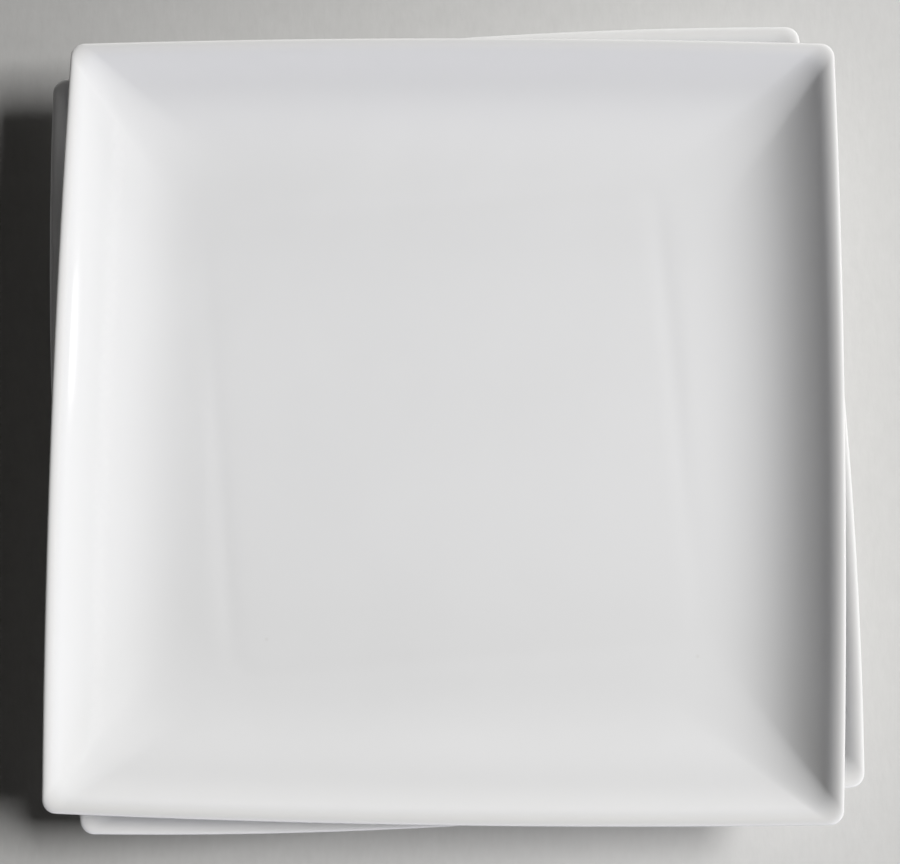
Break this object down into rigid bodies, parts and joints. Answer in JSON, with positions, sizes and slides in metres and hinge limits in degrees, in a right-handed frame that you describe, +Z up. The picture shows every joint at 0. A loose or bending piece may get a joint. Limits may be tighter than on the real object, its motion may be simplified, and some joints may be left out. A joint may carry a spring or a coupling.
{
  "type": "stacked square dinner plates",
  "caption": "Stacked square white porcelain dinner plates with bowed sides, coved walls, a rounded rim and a bare foot ring; the upper plate rests turned in the lower one and lifts off.",
  "frame": {"origin": "middle of the lower plate's foot ring, on the table", "axes": "+Z up out of the wells; X and Y along the upper plate's sides, with -Y towards the bottom of the picture"},
  "size_m": [0.2732, 0.2732, 0.0407],
  "materials": {
    "biscuit": "unglazed fired porcelain, matte",
    "glaze": "clear gloss glaze on white porcelain"
  },
  "bodies": {
    "lower_plate": {"lower_plate_body": "biscuit", "lower_plate_glaze": "glaze", "lower_plate_base_glaze": "glaze"},
    "upper_plate": {"upper_plate_body": "biscuit", "upper_plate_glaze": "glaze", "upper_plate_base_glaze": "glaze"}
  },
  "joints": [
    {"name": "upper_plate_lift", "type": "slide", "parent": "lower_plate", "child": "upper_plate", "axis": [0, 0, 1], "range_m": [0, 0.08]}
  ]
}
